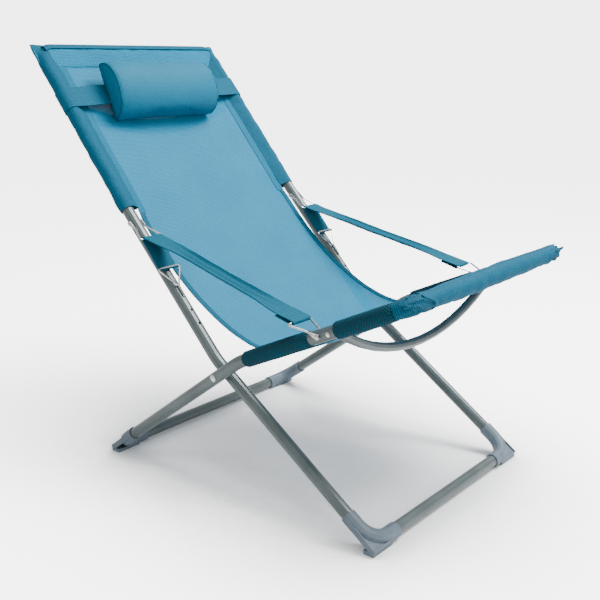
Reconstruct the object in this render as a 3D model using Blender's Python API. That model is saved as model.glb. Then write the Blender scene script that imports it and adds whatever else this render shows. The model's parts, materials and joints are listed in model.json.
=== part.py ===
"""Folding beach chair: two crossed tube frames, a textile sling, strap arms and a pillow.

Metres, +Z up. The sitter faces -Y, so +X is the sitter's left. The origin is on the floor,
under the middle of the chair. Side views are laid out as (y, z) pairs, with y measured
rearwards from the tips of the front feet and z upwards from the floor.
"""
import math

import bmesh
import bpy
from mathutils import Matrix, Vector

# ---------------------------------------------------------------- driving dimensions
Y_ORIGIN = 0.4583          # from the front feet's tips back to the origin
GAP = 0.0003               # between pieces that touch

TUBE_R = 0.0130
TUBE_WALL = 0.0011
SIDES = 14                 # faces round a tube
CORNER_STEPS = 6           # pieces in the bend at a floor corner
FRONT_HALF = 0.2645        # centre of the front frame's rails from the middle
REAR_HALF = 0.2945         # centre of the rear frame's rails from the middle
CORNER_R = 0.050           # from a floor corner to the end of its bend
TAIL = 0.004               # straight piece after a bend

FLOOR_BAR_Z = 0.0165       # centre of a crossbar that stands on the floor
PIVOT = (0.3868, 0.2673)
FRONT_BAR = (0.0113, FLOOR_BAR_Z)
FRONT_BEND = (0.4185, 0.2886)
SLEEVE_END = (0.6880, 0.5736)
BACK_TOP = (0.9770, 0.9056)

REAR_BAR = (0.7243, FLOOR_BAR_Z)
REAR_BEND = (0.3240, 0.3142)
SEAT_FRONT = (-0.0600, 0.4965)
FRONT_BEND_R = 0.150
REAR_BEND_R = 0.180
TOP_CORNER_R = 0.034
SEAT_CORNER_R = 0.045

BRACE_R = 0.0095
BRACE_Y = 0.090
BRACE_DROP = 0.086

FOOT_WALL_R = 0.0158       # outside of a foot's sleeve
FOOT_REACH = 0.072         # sleeve length along each tube from the corner
FOOT_EDGE = 0.0155         # web's outer edge, outside the tubes' centre lines
WEB_HALF = 0.0030
RIM_HALF = 0.0062
RIM_WIDTH = 0.0030
SOLE_LENGTH = 0.062
SOLE_DEPTH = 0.0235

HOLE_R = 0.0030
HOLE_STEP = 0.0340
HOOK_HOLE_Y = 0.5235       # centre-line y of the rail beside the top adjuster hole
HOLE_COUNT = 3

WIRE_R = 0.0021
GUIDE_RIVET_Y = 0.6640
GUIDE_BAR = (0.6100, 0.5225)
SEAT_RIVET_Y = 0.1130
SEAT_BAR = (0.1690, 0.4300)
BAIL_HALF = 0.0310
RING_HALF = 0.0310
RING_BAR = (0.5600, 0.4650)

GRIP_SPANS = ((0.303, 0.136), (0.076, -0.013))   # from y to y along the seat rails

STRAP_HALF = 0.0235
STRAP_T = 0.0022

SLEEVE_T = 0.0021          # a fabric sleeve or grip round a tube
SLING_T = 0.0020
SLING_HALF = 0.2320
PILLOW_U = 0.302           # pillow's middle, up the back from the sleeve's end
PILLOW_HALF = 0.154
BAND_U = 0.330
BAND_HALF = 0.024
BAND_T = 0.0015


# ---------------------------------------------------------------- helpers
def point(x, side_point):
    """World place of a side view's (y, z) at x."""
    return Vector((x, side_point[0] - Y_ORIGIN, side_point[1]))


def along(a, b, y):
    """The (y, z) on the line through a and b at this y."""
    return (y, a[1] + (b[1] - a[1]) * (y - a[0]) / (b[0] - a[0]))


def unit(a, b):
    """Unit (y, z) direction from a to b."""
    length = math.hypot(b[0] - a[0], b[1] - a[1])
    return ((b[0] - a[0]) / length, (b[1] - a[1]) / length)


def shift(p, direction, amount):
    return (p[0] + direction[0] * amount, p[1] + direction[1] * amount)


def normal_of(direction):
    """The (y, z) direction square to this one, on its upper, front side."""
    return (-direction[1], direction[0])


def square_to(a, b):
    """World direction square to X and to the line from a to b."""
    return Vector((0, *normal_of(unit(a, b))))


def seat_point(y):
    """The (y, z) on a seat rail's centre line at this y."""
    return along(REAR_BEND, SEAT_FRONT, y)


# ---------------------------------------------------------------- derived places
BACK_DIR = unit(SLEEVE_END, BACK_TOP)
BACK_NORMAL = normal_of(BACK_DIR)
RAIL_DIR = unit(FRONT_BEND, SLEEVE_END)
RAIL_NORMAL = normal_of(RAIL_DIR)
PIVOT_SHANK = 0.0040
GUIDE_SHANK = 0.0026
EYE_R = 0.0056
EYE_HALF = 0.0011
GUIDE_RIVET = along(FRONT_BEND, SLEEVE_END, GUIDE_RIVET_Y)
SEAT_RIVET = seat_point(SEAT_RIVET_Y)
BRACE_END = shift(seat_point(BRACE_Y), (0, 1), -0.002)
TOP_HOLE = along(FRONT_BEND, SLEEVE_END, HOOK_HOLE_Y)
ADJUSTER_HOLES = [shift(TOP_HOLE, RAIL_DIR, -HOLE_STEP * i) for i in range(HOLE_COUNT)]
PILLOW_DEEP_U = 0.082
PILLOW_BASE = TUBE_R + SLEEVE_T + BAND_T + 4 * GAP
PILLOW_DEPTH = 0.062
# free edge of the sling, from the sleeves' ends to the top of the front crossbar
SLING_LINE = [
    (0.6830, 0.5680), (0.6200, 0.5020), (0.5500, 0.4400), (0.4930, 0.3990), (0.4050, 0.3530),
    (0.3250, 0.3290), (0.2300, 0.3380), (0.1300, 0.3880), (0.0300, 0.4440), (-0.0400, 0.5020),
]


def clear_scene():
    for obj in list(bpy.data.objects):
        bpy.data.objects.remove(obj, do_unlink=True)


def material(name, colour, roughness, metallic):
    mat = bpy.data.materials.new(name)
    mat.use_nodes = True
    shader = mat.node_tree.nodes["Principled BSDF"]
    shader.inputs["Base Color"].default_value = (*colour, 1.0)
    shader.inputs["Roughness"].default_value = roughness
    shader.inputs["Metallic"].default_value = metallic
    return mat


def finish_object(name, bm, mat, origin=None, smooth=True):
    """Turn a bmesh in world coordinates into a named object with its origin at a point."""
    bmesh.ops.recalc_face_normals(bm, faces=bm.faces)
    origin = Vector(origin) if origin is not None else Vector((0.0, 0.0, 0.0))
    bmesh.ops.translate(bm, verts=bm.verts, vec=-origin)
    mesh = bpy.data.meshes.new(name)
    bm.to_mesh(mesh)
    bm.free()
    mesh.materials.append(mat)
    obj = bpy.data.objects.new(name, mesh)
    obj.location = origin
    bpy.context.scene.collection.objects.link(obj)
    if smooth:
        mesh.shade_smooth()
        mesh.set_sharp_from_angle(angle=math.radians(40))
    return obj


def boolean(obj, operation, helpers):
    """Add one EXACT Boolean modifier for each helper, which the build then leaves out."""
    for helper in helpers:
        helper.hide_render = True
        helper.display_type = "WIRE"
        mod = obj.modifiers.new(helper.name, "BOOLEAN")
        mod.operation = operation
        mod.solver = "EXACT"
        mod.object = helper
    return obj


def rounded(points, radii, steps):
    """A path through the points whose inner corners are rounded to the given radii."""
    path = [Vector(points[0])]
    for i in range(1, len(points) - 1):
        corner = Vector(points[i])
        to_prev = (Vector(points[i - 1]) - corner).normalized()
        to_next = (Vector(points[i + 1]) - corner).normalized()
        half = to_prev.angle(to_next) / 2
        reach = radii[i - 1] / math.tan(half)
        centre = corner + (to_prev + to_next).normalized() * (radii[i - 1] / math.sin(half))
        start = corner + to_prev * reach - centre
        end = corner + to_next * reach - centre
        turn = start.angle(end)
        for k in range(steps[i - 1] + 1):
            t = k / steps[i - 1]
            near = start * math.sin((1 - t) * turn) / math.sin(turn)
            far = end * math.sin(t * turn) / math.sin(turn)
            path.append(centre + near + far)
    path.append(Vector(points[-1]))
    return path


def path_frames(path, side):
    """Centre and two directions square to the path at each point, starting from a side."""
    frames = []
    for i, p in enumerate(path):
        before = (p - path[i - 1]).normalized() if i > 0 else Vector()
        after = (path[i + 1] - p).normalized() if i < len(path) - 1 else Vector()
        tangent = (before + after).normalized()
        side = (side - tangent * side.dot(tangent)).normalized()
        frames.append((p, side, tangent.cross(side)))
    return frames


def ring(bm, frame, radius, sides):
    """One ring of vertices square to the path."""
    centre, side, up = frame
    verts = []
    for k in range(sides):
        a = 2 * math.pi * k / sides
        verts.append(bm.verts.new(centre + side * (math.cos(a) * radius) + up * (math.sin(a) * radius)))
    return verts


def bridge(bm, a, b):
    count = len(a)
    for k in range(count):
        bm.faces.new((a[k], a[(k + 1) % count], b[(k + 1) % count], b[k]))


def swept(path, radius, side, sides=SIDES, inner=None):
    """A rod along a path, or a pipe with open ends where an inner radius is given.

    The side is the direction from the path that the first vertex of each ring starts in, so
    that a pipe and the cover round it have their corners in line.
    """
    bm = bmesh.new()
    frames = path_frames(path, side)
    outer_rings = [ring(bm, f, radius, sides) for f in frames]
    for a, b in zip(outer_rings, outer_rings[1:]):
        bridge(bm, a, b)
    if inner is None:
        bm.faces.new(outer_rings[0])
        bm.faces.new(outer_rings[-1])
        return bm
    inner_rings = [ring(bm, f, inner, sides) for f in frames]
    for a, b in zip(inner_rings, inner_rings[1:]):
        bridge(bm, a, b)
    bridge(bm, outer_rings[0], inner_rings[0])
    bridge(bm, outer_rings[-1], inner_rings[-1])
    return bm


def turned(profile, centre, axis, sides=16):
    """A solid turned about an axis from (radius, place along the axis) pairs."""
    bm = bmesh.new()
    axis = Vector(axis).normalized()
    spin = axis.to_track_quat("Z", "Y").to_matrix().to_4x4()
    place = Matrix.Translation(Vector(centre)) @ spin
    rings = []
    for radius, height in profile:
        if radius == 0:
            rings.append([bm.verts.new(place @ Vector((0, 0, height)))])
            continue
        verts = []
        for k in range(sides):
            a = 2 * math.pi * k / sides
            verts.append(bm.verts.new(place @ Vector((radius * math.cos(a), radius * math.sin(a), height))))
        rings.append(verts)
    for a, b in zip(rings, rings[1:]):
        for k in range(sides):
            n = (k + 1) % sides
            if len(a) == 1:
                bm.faces.new((a[0], b[k], b[n]))
            elif len(b) == 1:
                bm.faces.new((a[k], a[n], b[0]))
            else:
                bm.faces.new((a[k], a[n], b[n], b[k]))
    return bm


def washer(centre, half, inner, outer):
    """A flat ring across X."""
    bm = bmesh.new()
    rings = []
    for radius, offset in ((outer, -half), (outer, half), (inner, half), (inner, -half)):
        verts = []
        for k in range(16):
            a = 2 * math.pi * k / 16
            turn = Vector((offset, radius * math.cos(a), radius * math.sin(a)))
            verts.append(bm.verts.new(Vector(centre) + turn))
        rings.append(verts)
    for i in range(4):
        bridge(bm, rings[i], rings[(i + 1) % 4])
    return bm


def pin_cutter(name, centre, half, radius):
    bm = turned([(0, -half), (radius, -half), (radius, half), (0, half)], centre, (1, 0, 0), 10)
    return finish_object(name, bm, STEEL, smooth=False)


def rivet_profile(start, end, shank, head, crown):
    """Domed head at each end of a shank."""
    return [
        (0, start - crown), (head * 0.6, start - crown * 0.82), (head, start - crown * 0.2), (head, start),
        (shank, start), (shank, end),
        (head, end), (head, end + crown * 0.2), (head * 0.6, end + crown * 0.82), (0, end + crown),
    ]


def prism(outline, lift, thickness_dir):
    """Solid between an outline moved by -lift and +lift along a direction."""
    bm = bmesh.new()
    low = [bm.verts.new(p - thickness_dir * lift) for p in outline]
    high = [bm.verts.new(p + thickness_dir * lift) for p in outline]
    bm.faces.new(low)
    bm.faces.new(high)
    bridge(bm, low, high)
    return bm


def sheet_solid(rows, thickness):
    """Closed sheet through rows of points, thickened to both sides of its surface."""
    bm = bmesh.new()
    count_u, count_v = len(rows), len(rows[0])
    sides = []
    for sign in (-1, 1):
        grid = []
        for i in range(count_u):
            line = []
            for j in range(count_v):
                du = rows[min(i + 1, count_u - 1)][j] - rows[max(i - 1, 0)][j]
                dv = rows[i][min(j + 1, count_v - 1)] - rows[i][max(j - 1, 0)]
                out = du.cross(dv).normalized()
                line.append(bm.verts.new(rows[i][j] + out * (sign * thickness / 2)))
            grid.append(line)
        sides.append(grid)
    for grid in sides:
        for i in range(count_u - 1):
            for j in range(count_v - 1):
                bm.faces.new((grid[i][j], grid[i + 1][j], grid[i + 1][j + 1], grid[i][j + 1]))
    low, high = sides
    border = [(i, 0) for i in range(count_u)]
    border += [(count_u - 1, j) for j in range(1, count_v)]
    border += [(i, count_v - 1) for i in range(count_u - 2, -1, -1)]
    border += [(0, j) for j in range(count_v - 2, 0, -1)]
    bridge(bm, [low[i][j] for i, j in border], [high[i][j] for i, j in border])
    return bm


def smooth_line(points, count):
    """Evenly stepped points on a Catmull-Rom curve through (y, z) points."""
    dense = []
    last = len(points) - 1
    for i in range(last):
        p0, p1 = points[max(i - 1, 0)], points[i]
        p2, p3 = points[i + 1], points[min(i + 2, last)]
        for k in range(16):
            t = k / 16
            dense.append(tuple(
                0.5 * (2 * b + (c - a) * t + (2 * a - 5 * b + 4 * c - d) * t ** 2
                       + (3 * b - a - 3 * c + d) * t ** 3)
                for a, b, c, d in zip(p0, p1, p2, p3)))
    dense.append(points[-1])
    reach = [0.0]
    for a, b in zip(dense, dense[1:]):
        reach.append(reach[-1] + math.dist(a, b))
    result = []
    for k in range(count):
        want = reach[-1] * k / (count - 1)
        i = next(n for n in range(1, len(reach)) if reach[n] >= want - 1e-9)
        t = (want - reach[i - 1]) / (reach[i] - reach[i - 1])
        result.append(tuple(a + (b - a) * t for a, b in zip(dense[i - 1], dense[i])))
    return result


# ---------------------------------------------------------------- materials
STEEL = material("frame_paint", (0.15, 0.20, 0.20), 0.38, 0.7)
ZINC = material("zinc_wire", (0.55, 0.56, 0.56), 0.25, 1.0)
FOOT_PLASTIC = material("foot_plastic", (0.19, 0.25, 0.30), 0.5, 0.0)
GRIP_MESH = material("grip_mesh", (0.005, 0.09, 0.15), 0.85, 0.0)
TEXTILE = material("sling_textile", (0.11, 0.35, 0.50), 0.8, 0.0)
STRAP_CLOTH = material("strap_textile", (0.03, 0.22, 0.33), 0.85, 0.0)
PILLOW_CLOTH = material("pillow_fabric", (0.03, 0.26, 0.42), 0.75, 0.0)


# ---------------------------------------------------------------- frames
def side_name(sign):
    return "left" if sign > 0 else "right"


def front_rail(sign):
    """Front leg and back rail in one bent tube, from inside the front foot to the top corner."""
    x = sign * FRONT_HALF
    points = [
        point(x - sign * CORNER_R, FRONT_BAR), point(x, FRONT_BAR), point(x, FRONT_BEND),
        point(x, SLEEVE_END), point(x, BACK_TOP), point(x - sign * TOP_CORNER_R, BACK_TOP),
    ]
    radii = (CORNER_R - TAIL, FRONT_BEND_R, 0.4, TOP_CORNER_R - TAIL)
    path = rounded(points, radii, (CORNER_STEPS, 4, 1, 5))
    bm = swept(path, TUBE_R, square_to(FRONT_BAR, FRONT_BEND), inner=TUBE_R - TUBE_WALL)
    rail = finish_object(f"front_rail_{side_name(sign)}", bm, STEEL)
    cutters = [
        pin_cutter(f"cut_pivot_front_{side_name(sign)}", point(x, PIVOT), 0.016, PIVOT_SHANK + GAP),
        pin_cutter(f"cut_guide_{side_name(sign)}", point(x, GUIDE_RIVET), 0.016, GUIDE_SHANK + GAP),
    ]
    for i, place in enumerate(ADJUSTER_HOLES):
        bm = turned([(0, 0), (HOLE_R, 0), (HOLE_R, 0.02), (0, 0.02)], point(x, place),
                    (0, *RAIL_NORMAL), 12)
        cutters.append(finish_object(f"cut_hole_{side_name(sign)}_{i + 1}", bm, STEEL, smooth=False))
    return boolean(rail, "DIFFERENCE", cutters)


def rear_rail(sign):
    """Rear leg and seat rail in one bent tube, from inside the rear foot to the seat's corner."""
    x = sign * REAR_HALF
    points = [
        point(x - sign * CORNER_R, REAR_BAR), point(x, REAR_BAR), point(x, REAR_BEND),
        point(x, SEAT_FRONT), point(x - sign * SEAT_CORNER_R, SEAT_FRONT),
    ]
    radii = (CORNER_R - TAIL, REAR_BEND_R, SEAT_CORNER_R - TAIL)
    path = rounded(points, radii, (CORNER_STEPS, 4, 6))
    bm = swept(path, TUBE_R, square_to(REAR_BAR, REAR_BEND), inner=TUBE_R - TUBE_WALL)
    rail = finish_object(f"rear_rail_{side_name(sign)}", bm, STEEL)
    cutters = [
        pin_cutter(f"cut_pivot_rear_{side_name(sign)}", point(x, PIVOT), 0.016, PIVOT_SHANK + GAP),
        pin_cutter(f"cut_seat_{side_name(sign)}", point(x, SEAT_RIVET), 0.016, GUIDE_SHANK + GAP),
        pin_cutter(f"cut_brace_{side_name(sign)}", point(x, BRACE_END), 0.016, GUIDE_SHANK + GAP),
    ]
    return boolean(rail, "DIFFERENCE", cutters)


def crossbar(name, half, place, next_place, corner_radius):
    """Straight tube between the bends of two rails; the seams lie under the feet or the cloth."""
    reach = half - corner_radius - GAP
    path = [point(-reach, place), point(reach, place)]
    bm = swept(path, TUBE_R, square_to(place, next_place), inner=TUBE_R - TUBE_WALL)
    return finish_object(name, bm, STEEL)


def brace():
    """Tube under the seat, bowed down between the seat rails and cut off flush with them."""
    half = REAR_HALF - TUBE_R - GAP
    radius = (half ** 2 + BRACE_DROP ** 2) / (2 * BRACE_DROP)
    angle = math.asin(half / radius)
    path = []
    for k in range(15):
        a = angle * (2 * k / 14 - 1)
        rise = radius * (1 - math.cos(a)) - BRACE_DROP
        path.append(point(radius * math.sin(a), shift(BRACE_END, (0, 1), rise)))
    bm = swept(path, BRACE_R, Vector((0, 1, 0)), 10, BRACE_R - TUBE_WALL)
    for end, near in ((path[0], path[1]), (path[-1], path[-2])):
        run = (end - near).normalized()
        for vert in bm.verts:
            if (vert.co - end).length < BRACE_R * 1.1:
                vert.co += run * ((end.x - vert.co.x) / run.x)
    return finish_object("brace_tube", bm, STEEL)


def brace_rivet(sign):
    """Rivet through a seat rail into the brace's open end."""
    start = REAR_HALF - TUBE_R - 0.004
    end = REAR_HALF + TUBE_R + GAP
    profile = [(0, start), (GUIDE_SHANK, start), (GUIDE_SHANK, end), (0.0050, end),
               (0.0050, end + 0.0004), (0.0030, end + 0.0015), (0, end + 0.0018)]
    bm = turned(profile, point(0, BRACE_END), (sign, 0, 0), 12)
    return finish_object(f"brace_rivet_{side_name(sign)}", bm, ZINC, point(sign * REAR_HALF, BRACE_END))


def pivot_rivet(sign):
    """Rivet through both frames where the legs cross, with a spacer washer between the tubes."""
    name = side_name(sign)
    inner = FRONT_HALF - TUBE_R - GAP
    outer = REAR_HALF + TUBE_R + GAP
    bm = turned(rivet_profile(inner, outer, PIVOT_SHANK, 0.0078, 0.0026), point(0, PIVOT), (sign, 0, 0))
    finish_object(f"pivot_rivet_{name}", bm, ZINC, point(sign * REAR_HALF, PIVOT))
    middle = sign * (FRONT_HALF + REAR_HALF) / 2
    half = (REAR_HALF - FRONT_HALF) / 2 - TUBE_R - GAP
    finish_object(f"pivot_washer_{name}", washer(point(middle, PIVOT), half, PIVOT_SHANK + GAP, 0.0095),
                  FOOT_PLASTIC)


def foot(kind, sign, half, bar, up_dir):
    """Moulded corner foot: a sleeve round the bend, a web out to a square corner, and a sole."""
    name = f"{kind}_foot_{side_name(sign)}"
    corner = point(sign * half, bar)
    inward = Vector((-sign, 0, 0))
    up = Vector((0, *up_dir))
    normal = inward.cross(up).normalized()

    def place(a, b):
        return corner + inward * a + up * b

    def bend(reach):
        ends = [place(reach, 0), place(0, 0), place(0, reach)]
        return rounded(ends, (CORNER_R - TAIL,), (CORNER_STEPS,))

    side = Vector((0, *normal_of(up_dir)))
    body = finish_object(name, swept(bend(FOOT_REACH), FOOT_WALL_R, side), FOOT_PLASTIC)
    edge = -FOOT_EDGE
    far = FOOT_REACH - 0.001
    inside = edge + RIM_WIDTH
    hidden = edge + RIM_WIDTH / 2
    web = [place(hidden, hidden), place(far - 0.002, hidden), place(far - 0.002, -0.004), place(0.034, 0.006),
           place(0.006, 0.034), place(-0.004, far - 0.002), place(hidden, far - 0.002)]
    rim = [place(edge, edge), place(far, edge), place(far, inside), place(inside, inside),
           place(inside, far), place(edge, far)]
    helpers = [
        finish_object(f"add_web_{name}", prism(web, WEB_HALF, normal), FOOT_PLASTIC, smooth=False),
        finish_object(f"add_rim_{name}", prism(rim, RIM_HALF, normal), FOOT_PLASTIC, smooth=False),
    ]
    tip = place(edge, edge)
    reach = place(edge + SOLE_LENGTH, edge)
    depth = math.copysign(SOLE_DEPTH, up_dir[0])
    sole = [Vector((tip.x, tip.y, 0)), Vector((reach.x, tip.y, 0)),
            Vector((reach.x, tip.y + depth, 0)), Vector((tip.x, tip.y + depth, 0))]
    lift = tip.z * 0.55
    lifted = [p + Vector((0, 0, lift)) for p in sole]
    bm = prism(lifted, lift, Vector((0, 0, 1)))
    helpers.append(finish_object(f"add_sole_{name}", bm, FOOT_PLASTIC, smooth=False))
    boolean(body, "UNION", helpers)
    bore = swept(bend(FOOT_REACH + 0.02), TUBE_R + GAP, side)
    return boolean(body, "DIFFERENCE", [finish_object(f"cut_{name}", bore, FOOT_PLASTIC, smooth=False)])


# ---------------------------------------------------------------- wires and rivets
def bail(kind, sign, half, rivet, bar, rail_dir):
    """U-shaped wire over a rail: flat eyes on the rivet, legs that spread, and a strap bar."""
    name = f"{kind}_bail_{side_name(sign)}"
    x = sign * half
    start = TUBE_R + 0.0026
    direction = unit(rivet, bar)
    eye_end = shift(rivet, direction, 0.0095)
    knee = shift(rivet, direction, 0.022)
    points = [
        point(x - start, eye_end), point(x - start, knee), point(x - BAIL_HALF, bar),
        point(x + BAIL_HALF, bar), point(x + start, knee), point(x + start, eye_end),
    ]
    path = rounded(points, (0.010, 0.004, 0.004, 0.010), (2, 4, 4, 2))
    wire = finish_object(name, swept(path, WIRE_R, Vector((1, 0, 0)), 8), ZINC, point(x, rivet))
    helpers = []
    up = normal_of(direction)
    for offset in (-start, start):
        ends = []
        for k in range(9):
            a = math.pi * (k / 8 + 0.5)
            arc = shift(shift(rivet, direction, EYE_R * math.cos(a)), up, EYE_R * math.sin(a))
            ends.append(point(x + offset, arc))
        tail = shift(rivet, direction, 0.0150)
        ends.append(point(x + offset, shift(tail, up, -0.0024)))
        ends.append(point(x + offset, shift(tail, up, 0.0024)))
        bm = prism(ends, EYE_HALF, Vector((1, 0, 0)))
        label = "in" if offset * sign < 0 else "out"
        helpers.append(finish_object(f"add_eye_{label}_{name}", bm, ZINC, smooth=False))
    boolean(wire, "UNION", helpers)
    bore = pin_cutter(f"cut_{name}", point(x, rivet), 0.03, GUIDE_SHANK + GAP)
    return boolean(wire, "DIFFERENCE", [bore])


def bail_rivet(kind, sign, half, rivet):
    """Rivet through a rail that a bail's two eyes turn on."""
    reach = TUBE_R + 0.0026 + EYE_HALF + GAP
    bm = turned(rivet_profile(-reach, reach, GUIDE_SHANK, 0.0050, 0.0018),
                point(sign * half, rivet), (1, 0, 0), 12)
    return finish_object(f"{kind}_rivet_{side_name(sign)}", bm, ZINC, point(sign * half, rivet))


def adjuster(sign):
    """Triangular wire ring whose twisted tail hooks into one of the rail's holes."""
    x = sign * FRONT_HALF
    hole = ADJUSTER_HOLES[0]
    surface = shift(hole, RAIL_NORMAL, TUBE_R)
    over = shift(surface, RAIL_NORMAL, 0.0034)
    neck = shift(over, RAIL_DIR, 0.0275)
    neck = shift(neck, RAIL_NORMAL, 0.0005)
    tip = shift(surface, RAIL_NORMAL, -0.0085)
    ring_points = [
        point(x, neck), point(x - RING_HALF, RING_BAR), point(x + RING_HALF, RING_BAR),
        point(x + 0.0052, shift(neck, RAIL_DIR, 0.003)),
    ]
    hook_points = [point(x, tip), point(x, over), point(x, shift(neck, RAIL_DIR, 0.002))]
    hook_path = rounded(hook_points, (0.0030,), (4,))
    sideways = Vector((1, 0, 0))
    hook = finish_object(f"adjuster_{side_name(sign)}", swept(hook_path, WIRE_R, sideways, 8), ZINC,
                         point(x, surface))
    ring_path = rounded(ring_points, (0.004, 0.004), (4, 4))
    ring_path[0] = point(x - 0.0012, shift(neck, RAIL_DIR, -0.001))
    ring_path[-1] = point(x + 0.0012, shift(neck, RAIL_DIR, -0.001))
    square = Vector((0, *RAIL_NORMAL))
    ring_wire = swept(ring_path, WIRE_R, square, 8)
    helper = finish_object(f"add_ring_{side_name(sign)}", ring_wire, ZINC, smooth=False)
    return boolean(hook, "UNION", [helper])


# ---------------------------------------------------------------- soft pieces
def tube_cover(name, path, side, mat, thickness=SLEEVE_T):
    bm = swept(path, TUBE_R + GAP + thickness, side, inner=TUBE_R + GAP)
    return finish_object(name, bm, mat)


def grip(sign, index, start_y, end_y):
    """Mesh-covered foam grip on a seat rail."""
    x = sign * REAR_HALF
    path = [point(x, seat_point(start_y)), point(x, seat_point(end_y))]
    return tube_cover(f"grip_{index}_{side_name(sign)}", path, square_to(REAR_BEND, SEAT_FRONT), GRIP_MESH)


def back_sleeves():
    start = shift(SLEEVE_END, BACK_DIR, 0.004)
    top = shift(BACK_TOP, BACK_DIR, -TOP_CORNER_R)
    for sign in (-1, 1):
        x = sign * FRONT_HALF
        path = [point(x, start), point(x, top)]
        tube_cover(f"sling_sleeve_{side_name(sign)}", path, Vector((0, *BACK_NORMAL)), TEXTILE)
    reach = FRONT_HALF - TOP_CORNER_R
    path = [point(-reach, BACK_TOP), point(reach, BACK_TOP)]
    tube_cover("sling_top_hem", path, Vector((0, *BACK_NORMAL)), TEXTILE)


def sling_back():
    """Back panel between the sleeves, sagging a little behind the rails."""
    half = FRONT_HALF - TUBE_R - SLEEVE_T - 3 * GAP
    start = shift(SLEEVE_END, BACK_DIR, 0.004)
    end = shift(BACK_TOP, BACK_DIR, -TUBE_R - SLEEVE_T - 3 * GAP)
    rows = []
    for k in range(7):
        t = k / 6
        middle = (start[0] + (end[0] - start[0]) * t, start[1] + (end[1] - start[1]) * t)
        line = []
        for j in range(9):
            s = j / 4 - 1
            dip = 0.012 * (1 - s * s) * (1 - t) ** 0.5
            line.append(point(s * (half if k < 6 else half - 0.009), shift(middle, BACK_NORMAL, -dip)))
        rows.append(line)
    return finish_object("sling_back", sheet_solid(rows, SLING_T), TEXTILE)


def sling_rows(line, sag):
    rows = []
    for i, (y, z) in enumerate(line):
        drop = sag[0] + (sag[1] - sag[0]) * i / (len(line) - 1)
        rows.append([point(SLING_HALF * s / 4, (y, z - drop * (1 - (s / 4) ** 2))) for s in range(-4, 5)])
    return rows


def sling_length(name, first, last, sag):
    """One length of the sling's free cloth, just clear of the lengths before and after it."""
    line = smooth_line(SLING_LINE[first:last + 1], 8 if last - first > 2 else 5)
    line[0] = shift(line[0], unit(line[0], line[1]), 2 * GAP)
    rows = sling_rows(line, sag)
    return finish_object(name, sheet_solid(rows, SLING_T), TEXTILE)


def sling_front_hem():
    reach = REAR_HALF - SEAT_CORNER_R - 0.002
    path = [point(-reach, SEAT_FRONT), point(reach, SEAT_FRONT)]
    return tube_cover("sling_front_hem", path, square_to(REAR_BEND, SEAT_FRONT), TEXTILE, 0.0026)


def arm_strap(sign):
    """Webbing arm from the adjuster ring round the guide bail and forward to the seat bail."""
    ring_x = sign * FRONT_HALF
    seat_x = sign * REAR_HALF
    lift = WIRE_R + STRAP_T / 2 + 2 * GAP
    climb = unit(RING_BAR, GUIDE_BAR)
    arm = unit(GUIDE_BAR, SEAT_BAR)
    start_angle = math.atan2(-climb[0], climb[1])
    end_angle = math.atan2(-arm[0], arm[1])
    line = [(ring_x, shift(RING_BAR, (climb[1], -climb[0]), lift))]
    for k in range(5):
        a = start_angle + (end_angle - start_angle) * k / 4
        line.append((ring_x, shift(GUIDE_BAR, (math.cos(a), math.sin(a)), lift)))
    line.append((seat_x, shift(SEAT_BAR, (arm[1], -arm[0]), lift)))
    rows = [[point(x + STRAP_HALF * s, place) for s in (-1, -0.5, 0, 0.5, 1)] for x, place in line]
    return finish_object(f"arm_strap_{side_name(sign)}", sheet_solid(rows, STRAP_T), STRAP_CLOTH)


def back_place(x, u, lift):
    """World place on the back at x, u up it from the sleeves' end and lift in front of it."""
    return point(x, shift(shift(SLEEVE_END, BACK_DIR, u), BACK_NORMAL, lift))


def pillow():
    """Half-round bolster with its flat side against the back."""
    outline = []
    for k in range(13):
        a = math.pi * k / 12
        outline.append((PILLOW_DEEP_U * math.cos(a), PILLOW_BASE + PILLOW_DEPTH * math.sin(a) ** 0.8))
    bm = bmesh.new()
    rings = []
    for x, scale in ((-1, 0.80), (-0.93, 0.97), (-0.5, 1.0), (0.5, 1.0), (0.93, 0.97), (1, 0.80)):
        verts = []
        for u, lift in outline:
            height = PILLOW_BASE + (lift - PILLOW_BASE) * scale
            verts.append(bm.verts.new(back_place(x * PILLOW_HALF, PILLOW_U + u * scale, height)))
        rings.append(verts)
    for a, b in zip(rings, rings[1:]):
        bridge(bm, a, b)
    bm.faces.new(rings[0])
    bm.faces.new(rings[-1])
    return finish_object("pillow", bm, PILLOW_CLOTH, back_place(0, PILLOW_U, 0.02))


def pillow_band():
    """Elastic band round the back that holds the pillow."""
    clear = (TUBE_R + GAP + SLEEVE_T + GAP) / math.cos(math.pi / 12)
    half = FRONT_HALF
    loops = []
    for radius in (clear, clear + BAND_T):
        loop = []
        for centre, start in ((half, -math.pi / 2), (-half, math.pi / 2)):
            for k in range(7):
                a = start + math.pi * k / 6
                loop.append((centre + radius * math.cos(a), radius * math.sin(a)))
        loops.append(loop)
    bm = bmesh.new()
    rings = []
    for loop, offset in ((loops[1], -BAND_HALF), (loops[1], BAND_HALF),
                         (loops[0], BAND_HALF), (loops[0], -BAND_HALF)):
        rings.append([bm.verts.new(back_place(x, BAND_U + offset, lift)) for x, lift in loop])
    for i in range(4):
        bridge(bm, rings[i], rings[(i + 1) % 4])
    return finish_object("pillow_band", bm, PILLOW_CLOTH, back_place(0, BAND_U, 0))


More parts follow.
